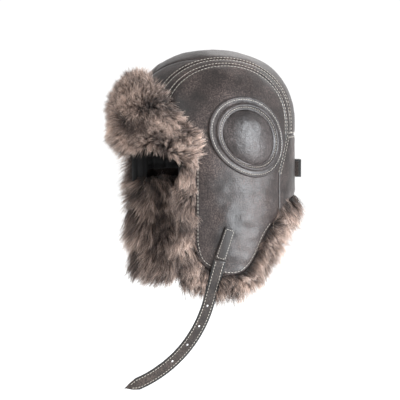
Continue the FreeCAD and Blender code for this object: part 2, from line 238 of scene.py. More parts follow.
def mesh_object(name, points, faces, material):
    mesh = bpy.data.meshes.new(name)
    mesh.from_pydata((np.asarray(points, float) * MM).tolist(), [], faces)
    mesh.validate()
    mesh.materials.append(material)
    mesh.shade_smooth()
    return link_object(name, mesh)


def recalc(piece):
    bm = bmesh.new()
    bm.from_mesh(piece.data)
    bmesh.ops.recalc_face_normals(bm, faces=bm.faces)
    bm.to_mesh(piece.data)
    bm.free()


def face_towards(mesh, direction):
    """Flip the faces of a sheet where, on the whole, it looks away from the direction."""
    if sum(v.normal.dot(Vector(direction)) for v in mesh.vertices) < 0:
        mesh.flip_normals()


def grid_faces(rows, columns, closed=False):
    """Quads between rows of points; closed joins the last column to the first."""
    faces = []
    for i in range(rows - 1):
        for j in range(columns if closed else columns - 1):
            a = i * columns + j
            b = i * columns + (j + 1) % columns
            faces.append((a, b, b + columns, a + columns))
    return faces


def thicken(piece, thickness, rounded=False):
    """Give a sheet its thickness; a rounded rim takes the piece's second material."""
    solid = piece.modifiers.new("thick", "SOLIDIFY")
    solid.thickness = thickness * MM
    solid.offset = -1.0
    if rounded:
        solid.material_offset_rim = 1
        bevel = piece.modifiers.new("bevel", "BEVEL")
        bevel.width = 0.45 * MM
        bevel.segments = 2
        bevel.limit_method = "ANGLE"
        bevel.angle_limit = math.radians(50)
    bpy.context.view_layer.update()
    graph = bpy.context.evaluated_depsgraph_get()
    mesh = bpy.data.meshes.new_from_object(piece.evaluated_get(graph))
    piece.modifiers.clear()
    piece.data = mesh
    mesh.shade_smooth()


def flap_bend(child):
    """The crown and a flap, with the zone over which the leather bends between them."""
    return ("crown", child, (0, 0, BEND_START_Z * MM), (0, 0, BEND_END_Z * MM))


def place_on(piece, body, slot, *nodes):
    """Let a piece ride a body, or, given a pair of bodies, stay where it was made; hide the CAD nodes it
    stands in for. The slot is not used.
    """
    if isinstance(body, tuple):
        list(body[:2])
        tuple(body[2])
        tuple(body[3])
        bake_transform(piece)
    else:
        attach(piece, body)
    if nodes:
        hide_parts(*nodes)


def noise_field(points, scale, seed):
    """Smooth noise, about -1 to 1, over features of the given size in millimetres."""
    shift = Vector((seed * 17.3, seed * 5.1, seed * 9.7))
    return np.array([noise.noise(Vector(p) / scale + shift) for p in points])


def find_nearest(points, targets):
    """For each point, the number of the nearest target and its distance."""
    tree = kdtree.KDTree(len(targets))
    for i, target in enumerate(targets):
        tree.insert(Vector(target), i)
    tree.balance()
    found = [tree.find(Vector(p)) for p in points]
    return np.array([index for _, index, _ in found]), np.array([gap for _, _, gap in found])


# ---- materials

def connect(tree, node, inputs):
    """Give each named input of a node a value or another node's output."""
    for key, value in inputs.items():
        if isinstance(value, bpy.types.NodeSocket):
            tree.links.new(value, node.inputs[key])
        else:
            node.inputs[key].default_value = value


def add(tree, kind, inputs, **settings):
    """Add a node, and return its outputs."""
    node = tree.nodes.new(kind)
    for key, value in settings.items():
        setattr(node, key, value)
    connect(tree, node, inputs)
    return node.outputs


def new_material(name):
    material = bpy.data.materials.new(name)
    material.use_nodes = True
    tree = material.node_tree
    tree.nodes.clear()
    output = tree.nodes.new("ShaderNodeOutputMaterial")
    shader = tree.nodes.new("ShaderNodeBsdfPrincipled")
    tree.links.new(shader.outputs[0], output.inputs[0])
    return material, tree, shader


def texture(tree, kind, scale, inputs, **settings):
    """A texture that stays with the object, as one number for each place."""
    place = add(tree, "ShaderNodeTexCoord", {})["Object"]
    return add(tree, kind, {"Vector": place, "Scale": scale, **inputs}, **settings)[0]


def ramp(tree, factor, stops):
    node = tree.nodes.new("ShaderNodeValToRGB")
    tree.links.new(factor, node.inputs["Fac"])
    elements = node.color_ramp.elements
    while len(elements) < len(stops):
        elements.new(0.5)
    for element, (place, colour) in zip(elements, stops):
        element.position = place
        element.color = (*colour, 1.0)
    return node.outputs["Color"]


def remap(tree, value, source, target):
    return add(tree, "ShaderNodeMapRange", {"Value": value, "From Min": source[0], "From Max": source[1],
                                            "To Min": target[0], "To Max": target[1]})[0]


def arithmetic(tree, operation, a, b):
    return add(tree, "ShaderNodeMath", {0: a, 1: b}, operation=operation)[0]


def mix_colours(tree, kind, share, a, b):
    return add(tree, "ShaderNodeMix", {0: share, 6: a, 7: b}, data_type="RGBA", blend_type=kind)[2]


def leather_material(name, dark, mid, worn, roughness):
    """Distressed pebbled leather: dark dye, rubbed paler in specks where it is worn."""
    material, tree, shader = new_material(name)
    patches = texture(tree, "ShaderNodeTexNoise", 20.0, {"Detail": 5.0, "Roughness": 0.6})
    specks = texture(tree, "ShaderNodeTexNoise", 620.0, {"Detail": 2.5, "Roughness": 0.75})
    pebbles = texture(tree, "ShaderNodeTexVoronoi", 820.0, {}, feature="F1")
    creases = texture(tree, "ShaderNodeTexVoronoi", 520.0, {}, feature="DISTANCE_TO_EDGE")
    dye = ramp(tree, patches, [(0.30, dark), (0.62, mid)])
    zone = remap(tree, patches, (0.38, 0.62), (0.10, 0.85))
    rubbed = arithmetic(tree, "MULTIPLY", zone, remap(tree, specks, (0.44, 0.68), (0.0, 1.0)))
    height = arithmetic(tree, "SUBTRACT", arithmetic(tree, "SUBTRACT", pebbles, creases), specks)
    bump = add(tree, "ShaderNodeBump", {"Height": height, "Strength": 0.36, "Distance": 0.00045}, invert=True)
    connect(tree, shader, {
        "Base Color": mix_colours(tree, "MIX", rubbed, dye, (*worn, 1.0)),
        "Roughness": remap(tree, rubbed, (0.0, 0.8), (roughness, roughness + 0.22)),
        "Normal": bump[0], "Specular IOR Level": 0.36})
    return material


def fur_material(name, roots, body, tips, glow):
    """Colour runs from root to tip along V, and U picks each hair's tone, which is random and, for hairs on
    the flaps' inner faces, lowered as painted shade.
    """
    material, tree, shader = new_material(name)
    uv = add(tree, "ShaderNodeUVMap", {}, uv_map="OFBake")[0]
    split = add(tree, "ShaderNodeSeparateXYZ", {0: uv})
    colour = ramp(tree, split[1], [(0.0, roots), (0.4, body), (0.78, tips), (1.0, glow)])
    tone = ramp(tree, split[0], [(0.0, (0.20, 0.18, 0.18)), (0.5, (0.80, 0.77, 0.76)),
                                 (1.0, (1.50, 1.46, 1.44))])
    connect(tree, shader, {
        "Base Color": mix_colours(tree, "MULTIPLY", 1.0, colour, tone),
        "Roughness": 0.62, "Specular IOR Level": 0.35, "Sheen Weight": 0.15})
    return material


def cloth_material(name, dark, light, scale, roughness, bump_height):
    """Fine-grained cloth, thread or moulded plastic."""
    material, tree, shader = new_material(name)
    fine = texture(tree, "ShaderNodeTexNoise", scale, {"Detail": 4.0})
    bump = add(tree, "ShaderNodeBump", {"Height": fine, "Strength": 0.5, "Distance": bump_height})
    connect(tree, shader, {"Base Color": ramp(tree, fine, [(0.35, dark), (0.65, light)]),
                           "Roughness": roughness, "Normal": bump[0]})
    return material


def metal_material(name, dark, light, roughness):
    material, tree, shader = new_material(name)
    wear = texture(tree, "ShaderNodeTexNoise", 300.0, {"Detail": 5.0})
    connect(tree, shader, {"Base Color": ramp(tree, wear, [(0.35, dark), (0.65, light)]),
                           "Roughness": remap(tree, wear, (0.0, 1.0), (roughness, roughness + 0.2)),
                           "Metallic": 1.0})
    return material


LEATHER_MAT = leather_material("leather", (0.005, 0.0034, 0.0033), (0.0165, 0.0115, 0.0108),
                               (0.125, 0.092, 0.082), 0.33)
PATCH_MAT = leather_material("patch_leather", (0.006, 0.005, 0.005), (0.019, 0.015, 0.0148),
                             (0.10, 0.081, 0.077), 0.30)
STRAP_MAT = leather_material("strap_leather", (0.006, 0.0045, 0.004), (0.018, 0.0128, 0.0112),
                             (0.105, 0.078, 0.064), 0.36)
EDGE_MAT = cloth_material("edge_paint", (0.003, 0.003, 0.0028), (0.007, 0.0065, 0.006), 900.0, 0.7, 0.0001)
THREAD_MAT = cloth_material("thread", (0.34, 0.31, 0.27), (0.58, 0.54, 0.48), 2500.0, 0.7, 0.0001)
LINING_MAT = cloth_material("lining", (0.003, 0.003, 0.0033), (0.007, 0.007, 0.008), 1500.0, 0.72, 0.0002)
UNDER_MAT = cloth_material("underfur", (0.018, 0.011, 0.008), (0.060, 0.038, 0.027), 320.0, 0.9, 0.002)
FUR_MAT = fur_material("fur", (0.013, 0.009, 0.0075), (0.080, 0.051, 0.039), (0.47, 0.355, 0.295),
                       (0.88, 0.75, 0.67))
BUCKLE_MAT = metal_material("buckle_metal", (0.22, 0.19, 0.15), (0.42, 0.38, 0.32), 0.28)
PLASTIC_MAT = cloth_material("black_buckle", (0.010, 0.010, 0.010), (0.018, 0.018, 0.018), 600.0, 0.42,
                             0.0001)


# ---- stitching

STITCH_RADIUS = 0.33
STITCH_LIFT = 0.2
STITCH_RINGS = 5
STITCH_SIDES = 6


def stitches(name, line, normals, body, pitch=4.2, length=3.1):
    """A row of single thread stitches along the line, each sunk at both ends."""
    along = length_along(line)
    count = max(1, int(along[-1] / pitch))
    one = grid_faces(STITCH_RINGS, STITCH_SIDES, closed=True)
    one.append(tuple(reversed(range(STITCH_SIDES))))
    one.append(tuple((STITCH_RINGS - 1) * STITCH_SIDES + k for k in range(STITCH_SIDES)))
    points, faces = [], []
    for centre in (np.arange(count) + 0.5) * along[-1] / count:
        faces += [tuple(len(points) + k for k in face) for face in one]
        first, last = (points_along(centre + half, along, line) for half in (-length / 2, length / 2))
        normal = points_along(centre, along, normals)
        normal /= np.linalg.norm(normal)
        tangent = (last - first) / (np.linalg.norm(last - first) + 1e-9)
        across = np.cross(normal, tangent)
        for s in np.linspace(0, 1, STITCH_RINGS):
            arch = math.sin(math.pi * s)
            fat = STITCH_RADIUS * (0.35 + 0.65 * arch ** 0.5)
            middle = first * (1 - s) + last * s + normal * (STITCH_LIFT * arch - 0.1)
            for angle in np.linspace(0, 2 * math.pi, STITCH_SIDES, endpoint=False):
                points.append(middle + across * fat * math.cos(angle) + normal * fat * 0.8 * math.sin(angle))
    place_on(mesh_object(name, points, faces, THREAD_MAT), body, "strap_leather")


# ---- fur

LOCK_SIZE = 10
LOCK_PULL = 0.70
HAIR_WIDTH = 0.47
HAIR_DROOP = 0.12
HAIR_SIDES = 3
HAIRS_PER_PIECE = 9000
# Width of a hair at each of its rings, as a share; its last point is the tip
HAIR_TAPER = (1.0, 1.0, 0.8, 0.5)
HAIR_STEPS = np.linspace(0, 1, len(HAIR_TAPER) + 1)
# The most that hair stands out past the leather's widest place, and the depth at which it clears
# the leather's inner face
HAIR_REACH = 16.0
INNER_FACE = 3.2


def sample_surface(piece, count, keep):
    """Random points of a mesh, spread by area and keep, with its normals there, in millimetres."""
    mesh = piece.data
    mesh.calc_loop_triangles()
    co = np.array([v.co for v in mesh.vertices]) / MM
    normals = np.array([v.normal for v in mesh.vertices])
    triangles = np.array([t.vertices for t in mesh.loop_triangles])
    corners = co[triangles]
    areas = np.linalg.norm(np.cross(corners[:, 1] - corners[:, 0], corners[:, 2] - corners[:, 0]), axis=1) / 2
    areas = areas * keep(corners.mean(1), normals[triangles].mean(1))
    chosen = rng.choice(len(triangles), count, p=areas / areas.sum())
    weights = rng.dirichlet((1, 1, 1), count)
    points = (corners[chosen] * weights[:, :, None]).sum(1)
    n = (normals[triangles[chosen]] * weights[:, :, None]).sum(1)
    return points, n / np.linalg.norm(n, axis=1, keepdims=True)


def clear_leather(points):
    """Move hair points out of the leather walls and of the chin strap's own space."""
    x, y, z = points.T
    share = np.sqrt((x / (HALF_WIDTH - INNER_FACE)) ** 2 + (y / (HALF_LENGTH - INNER_FACE)) ** 2)
    hit = (y > FLAP_FRONT_Y + 0.5) & (z > leather_low(y) + 0.5) & (share > 1.0)
    points[hit, :2] /= share[hit, None]
    start = strap_point(0.0, 0.0, 0.0)
    steps = ((9.0, 0, 0), (0, 9.0, 0), (0, 0, 9.0))
    down, aside, out = unit(np.array([strap_point(*step) for step in steps]) - start)
    offset = points - start
    lift = offset @ out + 2.0
    near = (np.abs(offset @ down - 27.0) < 36.0) & (np.abs(offset @ aside) < 9.5)
    hit = near & (lift > 0) & (lift < 30.0)
    points[hit] -= out * lift[hit, None]
    points[:, 0] = np.clip(points[:, 0], -HALF_WIDTH - HAIR_REACH, HALF_WIDTH + HAIR_REACH)


def lock_hairs(roots, comb, length, painted_shade):
    """Tip, length and tone of each hair, with the hairs gathered into locks that flow together; the shade
    given is taken off the tone as painted shade.
    """
    count = len(roots)
    locks = max(8, int(count / LOCK_SIZE))
    leaders = rng.choice(count, locks, replace=False)
    heads = roots[leaders]
    lock, _ = find_nearest(roots, heads)
    sway = np.stack([noise_field(heads, 21.0, seed) for seed in (51, 52, 53)], 1)
    flow = 0.85 * sway + rng.normal(0, 0.13, (locks, 3))
    lock_way = unit(comb[leaders] + flow)
    own_way = unit(comb + flow[lock] + rng.normal(0, 0.20, (count, 3)))
    short = np.where(rng.uniform(0, 1, count) < 0.30, 0.62, 1.0)
    lengths = length * short * rng.uniform(0.80, 1.10, count) * rng.uniform(0.82, 1.14, locks)[lock]
    broad = 0.5 + 0.75 * noise_field(heads, 17.0, 61) + 0.35 * noise_field(heads, 7.0, 67)
    lock_tone = np.clip(broad + rng.uniform(-0.28, 0.28, locks), 0, 1)
    # Painted shade: the given shade darkens each hair's random tone.
    tone = np.clip(lock_tone[lock] + rng.uniform(-0.36, 0.36, count) - painted_shade, 0.01, 0.99)
    own_tips = roots + own_way * lengths[:, None]
    lock_tips = heads[lock] + lock_way[lock] * lengths[:, None]
    pull = LOCK_PULL * rng.uniform(0.6, 1.0, count)[:, None]
    tips = own_tips * (1 - pull) + lock_tips * pull
    tips[:, 2] -= HAIR_DROOP * lengths
    return tips, lengths, tone


def hair_points(roots, middle, tips):
    """Points of each hair, bent through its middle: a ring at each step, then the tip."""
    t = HAIR_STEPS[None, :, None]
    spine = roots[:, None] * (1 - t) ** 2 + middle[:, None] * (2 * t * (1 - t)) + tips[:, None] * t ** 2
    tangent = unit(tips - roots)
    across = unit(np.cross(tangent, rng.normal(0, 1, roots.shape)))
    other = np.cross(tangent, across)
    fat = HAIR_WIDTH * rng.uniform(0.7, 1.2, len(roots))
    points = []
    for i, taper in enumerate(HAIR_TAPER):
        for k in range(HAIR_SIDES):
            angle = 2 * math.pi * k / HAIR_SIDES
            ring = across * math.cos(angle) + other * math.sin(angle)
            points.append(spine[:, i] + ring * (fat * taper / 2)[:, None])
    return np.stack(points + [spine[:, -1]], 1)


def hair_triangles():
    """Triangles of one hair by point number, and how far along the hair each corner lies."""
    last = (len(HAIR_TAPER) - 1) * HAIR_SIDES
    triangles = []
    for a, b, c, d in grid_faces(len(HAIR_TAPER), HAIR_SIDES, closed=True):
        triangles += [(a, b, c), (a, c, d)]
    for k in range(HAIR_SIDES):
        triangles.append((last + k, last + (k + 1) % HAIR_SIDES, last + HAIR_SIDES))
    triangles.append((2, 1, 0))
    triangles = np.array(triangles)
    return triangles, HAIR_STEPS[triangles // HAIR_SIDES].ravel()


def hair_mesh(name, points, triangles, u, v):
    """Triangle mesh from arrays, with U and V for each corner."""
    mesh = bpy.data.meshes.new(name)
    mesh.vertices.add(len(points))
    mesh.vertices.foreach_set("co", (points * MM).astype(np.float32).ravel())
    mesh.loops.add(triangles.size)
    mesh.loops.foreach_set("vertex_index", triangles.astype(np.int32).ravel())
    mesh.polygons.add(len(triangles))
    mesh.polygons.foreach_set("loop_start", np.arange(0, triangles.size, 3, dtype=np.int32))
    mesh.polygons.foreach_set("loop_total", np.full(len(triangles), 3, dtype=np.int32))
    layer = mesh.uv_layers.new(name="OFBake")
    layer.data.foreach_set("uv", np.stack([u, np.clip(v, 0.01, 0.99)], 1).astype(np.float32).ravel())
    mesh.update(calc_edges=True)
    mesh.materials.append(FUR_MAT)
    mesh.shade_smooth()
    return link_object(name, mesh)


def grow_fur(name, roots, normals, comb, length, body, node, clear=0, painted_shade=0.0):
    """Tapered hairs from the roots, in pieces of a fair size. The first ones clear the leather."""
    tips, lengths, tone = lock_hairs(roots, comb, length, painted_shade)
    middle = roots + normals * (lengths * 0.30)[:, None] + (tips - roots) * 0.32
    middle += unit(rng.normal(0, 1, roots.shape)) * (lengths * 0.06)[:, None]
    for points in (middle[:clear], tips[:clear]):
        clear_leather(points)
    hairs = hair_points(roots, middle, tips)
    triangles, share = hair_triangles()
    for number, start in enumerate(range(0, len(roots), HAIRS_PER_PIECE), 1):
        some = hairs[start:start + HAIRS_PER_PIECE]
        count, size = some.shape[:2]
        faces = (triangles[None] + (np.arange(count) * size)[:, None, None]).reshape(-1, 3)
        u = np.repeat(tone[start:start + count], triangles.size)
        piece = hair_mesh(name + "_" + str(number), some.reshape(-1, 3), faces, u, np.tile(share, count))
        place_on(piece, body, "fur", *([node] if number == 1 else []))


BAND_LOOP = 40


def band_mesh(name, columns, place, body, power=3.0, material=UNDER_MAT, slot="fur"):
    """Closed soft band: each column is (position, low z, high z, depth)."""
    angle = np.linspace(0, 2 * np.pi, BAND_LOOP, endpoint=False)
    c, s = (np.sign(wave) * np.abs(wave) ** (2 / power) for wave in (np.cos(angle), np.sin(angle)))
    points = np.concatenate([
        place(position, (low + high) / 2 + (high - low) / 2 * c, depth / 2 + depth / 2 * s)
        for position, low, high, depth in columns])
    points = points + 0.7 * noise_field(points, 7.0, 3)[:, None] * unit(points - points.mean(0))
    faces = grid_faces(len(columns), BAND_LOOP, closed=True)
    faces.append(tuple(range(BAND_LOOP)))
    faces.append(tuple(reversed(range(len(points) - BAND_LOOP, len(points)))))
    piece = mesh_object(name, points, faces, material)
    recalc(piece)
    place_on(piece, body, slot)
    return piece


# ---- leather panels

# Columns of the leather's grid over a side, the nape and the brow, and its rows down each stretch
SIDE_COLUMNS, NAPE_COLUMNS, BROW_COLUMNS = 74, 140, 110
DOME_ROWS, WALL_ROWS, FLAP_ROWS = 69, 18, 84


def leather_grid():
    """The whole leather surface as one grid, from the top of the head to its lower edge."""
    front = math.asin(FLAP_FRONT_Y / HALF_LENGTH)
    rear = math.asin(FLAP_REAR_Y / HALF_LENGTH)
    ranges = [(front, rear, SIDE_COLUMNS), (rear, math.pi - rear, NAPE_COLUMNS),
              (math.pi - rear, math.pi - front, SIDE_COLUMNS),
              (math.pi - front, 2 * math.pi + front, BROW_COLUMNS)]
    phi = np.concatenate([np.linspace(a, b, n, endpoint=False) for a, b, n in ranges])
    psi = np.linspace(math.pi / 2, 0, DOME_ROWS + 1)[1:]
    heights = np.concatenate([WALL_TOP + DOME_HEIGHT * np.sin(psi) ** (2 / DOME_POWER),
                              np.linspace(WALL_TOP, BROW_Z, WALL_ROWS + 1)[1:]])
    count, rows = len(phi), len(heights)
    points = [np.array([[0, 0, TOP_Z]])] + [wall_points(phi, z) for z in heights]
    faces = [(0, 1 + j, 1 + (j + 1) % count) for j in range(count)]
    faces += [tuple(1 + k for k in face) for face in grid_faces(rows, count, closed=True)]
    behind = 2 * SIDE_COLUMNS + NAPE_COLUMNS
    low = leather_low(HALF_LENGTH * np.sin(phi[:behind + 1]))
    start, base = 1 + (rows - 1) * count, 1 + rows * count
    for k in range(FLAP_ROWS):
        points.append(wall_points(phi[:behind + 1], BROW_Z + (low - BROW_Z) * (k + 1) / FLAP_ROWS))
        for j in range(behind):
            upper = start + j if k == 0 else base + (k - 1) * (behind + 1) + j
            lower = base + k * (behind + 1) + j
            faces.append((upper, lower, lower + 1, upper + 1))
    return np.concatenate(points), faces


def outside_seam(p, seam_x, side):
    """How far points lie on the outer side of a front-to-back seam."""
    return side * p[:, 0] - (seam_x + SEAM_SPREAD * p[:, 1])


def in_yoke(p):
    """How far points lie in front of the V seam of the front yoke."""
    return YOKE_POINT_Y + YOKE_SLOPE * np.abs(p[:, 0]) - p[:, 1]


def nape_inside(p):
    """How far points lie behind and below the seams of the nape yoke."""
    behind = p[:, 1] - (NAPE_SEAM[0] + NAPE_SEAM[1] * np.maximum(p[:, 2], 0))
    return np.minimum(behind, NAPE_SEAM_Z - p[:, 2])


# Cutting planes as (point, normal)
PLANES = [((side * seam_x, 0, 0), (side, -SEAM_SPREAD, 0))
          for seam_x in (SIDE_SEAM_X, BAND_SEAM_X) for side in (1, -1)]
PLANES += [((0, YOKE_POINT_Y, 0), (side * YOKE_SLOPE, -1, 0)) for side in (1, -1)]
PLANES += [((0, NAPE_SEAM[0], 0), (0, 1, -NAPE_SEAM[1])), ((0, 0, NAPE_SEAM_Z), (0, 0, 1))]

GRID_POINTS, GRID_FACES = leather_grid()


def cut_panel(inside):
    """The part of the leather surface where inside is above 0, cut along the seams."""
    bm = bmesh.new()
    verts = [bm.verts.new(p) for p in GRID_POINTS]
    for face in GRID_FACES:
        bm.faces.new([verts[k] for k in face])
    for point, normal in PLANES:
        geometry = bm.verts[:] + bm.edges[:] + bm.faces[:]
        bmesh.ops.bisect_plane(bm, geom=geometry, dist=1e-4, plane_co=point, plane_no=normal)
    centres = np.array([f.calc_center_median() for f in bm.faces])
    outside = [f for f, keep in zip(bm.faces[:], inside(centres) > 0) if not keep]
    bmesh.ops.delete(bm, geom=outside, context="FACES")
    bmesh.ops.remove_doubles(bm, verts=bm.verts, dist=0.02)
    return bm


def worn_surface(points, gap, puff, seed):
    """Panel points, rolled under at the seams and creased by wear; gap is the distance to a seam."""
    roll = -1.5 * np.exp(-(gap / 1.5) ** 2) - 0.30 * np.exp(-((gap - 3.6) / 0.9) ** 2)
    swell = puff * (1 - np.exp(-gap / 9.0))
    pucker = 0.22 * noise_field(points, 3.2, seed) * np.exp(-((gap - 3.0) / 4.0) ** 2)
    low = np.clip((20.0 - points[:, 2]) / 50.0, 0, 1)
    drape = 1.3 * noise_field(points * np.array([1, 1, 0.6]), 30.0, seed + 3)
    drape = drape + 1.0 * low * noise_field(points * np.array([1, 0.8, 1.3]), 17.0, seed + 4)
    crease = 0.28 * noise_field(points, 9.0, seed + 5)
    height = roll + swell + pucker + (drape + crease) * np.clip(gap / 8, 0, 1)
    return points + crown_normal(points) * height[:, None]


def leather_panel(name, inside, body, nodes, puff=0.5, seed=1):
    """One leather panel of the crown, as a piece that stands for its CAD nodes."""
    bm = cut_panel(inside)
    points = np.array([v.co for v in bm.verts])
    _, gap = find_nearest(points, np.array([v.co for v in bm.verts if v.is_boundary]))
    for v, p in zip(bm.verts, worn_surface(points, gap, puff, seed)):
        v.co = Vector(p) * MM
    mesh = bpy.data.meshes.new(name)
    bmesh.ops.recalc_face_normals(bm, faces=bm.faces)
    bm.to_mesh(mesh)
    bm.free()
    if sum(v.co.dot(v.normal) for v in list(mesh.vertices)[::50]) < 0:
        mesh.flip_normals()
    piece = link_object(name, mesh)
    thicken(piece, LEATHER - 0.3)
    piece.data.materials.append(LEATHER_MAT)
    place_on(piece, body, "leather", *nodes)


def least(*values):
    """Above 0 only where every one of the values is."""
    return np.minimum.reduce(values)


def in_middle(p):
    return least(-outside_seam(p, BAND_SEAM_X, 1), -outside_seam(p, BAND_SEAM_X, -1))


def make_crown():
    for side, word in SIDES:
        leather_panel("side_leather_" + word,
                      lambda p, s=side: least(outside_seam(p, SIDE_SEAM_X, s), -nape_inside(p)),
                      flap_bend("ear_flap_" + word), ["side_panel_" + word, "ear_flap_leather_" + word],
                      seed=2 + side)
        leather_panel("crown_band_leather_" + word,
                      lambda p, s=side: least(outside_seam(p, BAND_SEAM_X, s),
                                              -outside_seam(p, SIDE_SEAM_X, s), -nape_inside(p)),
                      "crown", ["crown_band_" + word], puff=0.35, seed=6 + side)
    leather_panel("top_leather", lambda p: least(in_middle(p), -in_yoke(p), -nape_inside(p)), "crown",
                  ["top_panel"], seed=11)
    leather_panel("front_leather", lambda p: least(in_middle(p), in_yoke(p)), "crown", ["front_yoke"],
                  seed=13)
    leather_panel("nape_leather", nape_inside, flap_bend("nape_flap"), ["nape_yoke", "nape_flap_leather"],
                  seed=15)


# ---- seams and their stitches

def crown_value(p):
    """Below 0 inside the crown's outer surface, above 0 outside."""
    rho = np.sqrt((p[:, 0] / HALF_WIDTH) ** 2 + (p[:, 1] / HALF_LENGTH) ** 2)
    t = np.clip((p[:, 2] - WALL_TOP) / DOME_HEIGHT, 0, None)
    return rho ** DOME_POWER + t ** DOME_POWER - 1


def surface_curve(point_at, low, high, count=240):
    """Curve on the crown: point_at(angle, radius) is solved for the radius at each angle."""
    angles = np.linspace(low, high, count)
    inner = np.zeros(count)
    outer = np.full(count, 220.0)
    for _ in range(40):
        middle = (inner + outer) / 2
        inside = crown_value(point_at(angles, middle)) < 0
        inner = np.where(inside, middle, inner)
        outer = np.where(inside, outer, middle)
    return point_at(angles, inner)


def fore_aft_seam(seam_x, side):
    """Seam that runs from the brow over the crown to the nape, angle 0 at the brow."""
    def point_at(angle, radius):
        y = -radius * np.cos(angle)
        return np.stack([side * (seam_x + SEAM_SPREAD * y), y, 40.0 + radius * np.sin(angle)], 1)
    return point_at


def flap_edge_line(side):
    """Line a little inside the front and lower edges of a flap."""
    edge = FLAP_EDGE[FLAP_EDGE[:, 1] < -60.0]
    inset = edge + unit(np.array([-14.0, -45.0]) - edge) * 5.0
    inset = inset[(inset[:, 0] > FLAP_FRONT_Y + 4.5) & (inset[:, 0] < FLAP_REAR_Y - 5)]
    front = np.stack([np.full(40, FLAP_FRONT_Y + 4.8), np.linspace(BROW_Z - 4, inset[0, 1] + 2.0, 40)], 1)
    path = np.vstack([front, inset])
    return even_curve(side_points(path[:, 0], path[:, 1], side), 1.5)


def seam_stitches(name, line, body, asides=(-2.6, 2.6), lift=0.1):
    normals = crown_normal(line)
    across = np.cross(normals, unit(np.gradient(line, axis=0)))
    for i, aside in enumerate(asides, 1):
        stitches(name + "_stitches_" + str(i), line + across * aside + normals * lift, normals, body)


def make_seam_stitches():
    for side, word in SIDES:
        for seam_x, seam in ((SIDE_SEAM_X, "side_seam_"), (BAND_SEAM_X, "band_seam_")):
            line = surface_curve(fore_aft_seam(seam_x, side), math.radians(14), math.radians(175))
            seam_stitches(seam + word, line[line[:, 2] > NAPE_SEAM_Z + 1.0], "crown")
        z = np.linspace(NAPE_SEAM_Z, 0, 90)
        seam_stitches("nape_seam_" + word, side_points(NAPE_SEAM[0] + NAPE_SEAM[1] * z, z, side), "crown")
        seam_stitches("flap_edge_" + word, flap_edge_line(side), flap_bend("ear_flap_" + word), (0.0,), 0.5)
    back = wall_points(np.linspace(math.radians(35), math.radians(145), 160), NAPE_SEAM_Z)
    back = back[back[:, 1] > NAPE_SEAM[0] + NAPE_SEAM[1] * NAPE_SEAM_Z]
    seam_stitches("nape_top_seam", back, "crown")


# ---- ear patches

# Tilted ovals, by their half lengths
PATCH_MIDDLE = ((node_low("ear_ring_left") + node_high("ear_ring_left")) / 2)[1:]
PATCH_LONG = 55.0
PATCH_SHORT = 44.3
PATCH_TILT = math.radians(-34.6)
PATCH_COLUMNS = 180

# Height of the patch's leather at each share of its radius
RING_PROFILE = smooth_curve([(0.683, 0.7), (0.70, 1.0), (0.735, 1.9), (0.75, 3.1), (0.785, 4.0), (0.82, 3.3),
                             (0.84, 2.2), (0.90, 2.2), (0.925, 2.5), (0.95, 3.3), (0.975, 3.1), (0.995, 1.8),
                             (1.0, 0.3)], 60)
PAD_PROFILE = smooth_curve([(0.004, 6.6), (0.2, 6.4), (0.4, 5.5), (0.53, 4.2), (0.62, 2.5), (0.66, 1.3),
                            (0.68, 0.5)], 40)


def patch_line(share, angle, side, height):
    """Points of an oval on the side of the crown, a share of the patch's size and a height off it."""
    long_part = share * PATCH_LONG * np.cos(angle)
    short_part = share * PATCH_SHORT * np.sin(angle)
    y = PATCH_MIDDLE[0] + long_part * math.cos(PATCH_TILT) - short_part * math.sin(PATCH_TILT)
    z = PATCH_MIDDLE[1] + long_part * math.sin(PATCH_TILT) + short_part * math.cos(PATCH_TILT)
    return side_points(y, z, side, np.full(len(angle), height))


def round_piece(name, profile, side, seed, closed=False):
    """Leather disc or ring on the side of the crown; closed fills its middle."""
    angle = np.linspace(0, 2 * np.pi, PATCH_COLUMNS, endpoint=False)
    points = np.concatenate([patch_line(share, angle, side, height) for share, height in profile])
    amount = np.repeat(np.clip((profile[:, 1] - 0.8) / 2.0, 0, 1), PATCH_COLUMNS)
    bumps = 0.30 * noise_field(points, 8.0, seed) + 0.12 * noise_field(points, 3.0, seed + 1)
    points = points + crown_normal(points) * (bumps * amount)[:, None]
    faces = grid_faces(len(profile), PATCH_COLUMNS, closed=True)
    if closed:
        faces.append(tuple(range(PATCH_COLUMNS)))
    piece = mesh_object(name, points, faces, PATCH_MAT)
    recalc(piece)
    face_towards(piece.data, (side, 0, 0))
    thicken(piece, 1.2)
    place_on(piece, "crown", "leather")
    return piece


def make_patch(side, word):
    ring = round_piece("patch_ring_" + word, RING_PROFILE, side, 21 + side)
    pad = round_piece("patch_pad_" + word, PAD_PROFILE, side, 29 + side, closed=True)
    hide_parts("ear_ring_" + word)
    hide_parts("ear_pad_" + word)
    for i, share in enumerate((0.922, 0.738), 1):
        line = patch_line(share, np.linspace(0, 2 * np.pi, 260), side, value_on(RING_PROFILE, share) + 0.25)
        stitches("patch_" + word + "_stitches_" + str(i), line, crown_normal(line), "crown", pitch=3.2,
                 length=2.3)


# ---- visor

# Height of the pile's edge at each plan angle from straight ahead, in degrees
VISOR_TOP = np.array([(0.0, 107.0), (8.0, 106.0), (17.0, 99.0), (28.0, 86.0), (36.0, 71.0), (42.0, 58.0),
                      (47.0, 46.0), (50.0, BROW_Z + 6.0)])
VISOR_HALF_ANGLE = math.radians(VISOR_TOP[-1, 0])
VISOR_HAIRS = 30000


def visor_columns(half_angle, inset, depth, low, end_drop=0.0):
    """Columns of a band round the brow, whose ends thin out and hang lower by the drop."""
    columns = []
    for beta in np.linspace(-half_angle, half_angle, 96):
        degrees = abs(math.degrees(beta))
        high = max(value_on(VISOR_TOP, degrees) - inset, low + 4.0)
        drop = end_drop * np.clip((degrees - 28.0) / 12.0, 0, 1)
        columns.append((beta, low - drop, high, depth * (1.0 - 0.55 * (abs(beta) / VISOR_HALF_ANGLE) ** 3)))
    return columns


def visor_place(start):
    return lambda beta, z, d: wall_points(beta - math.pi / 2, z, start + d)


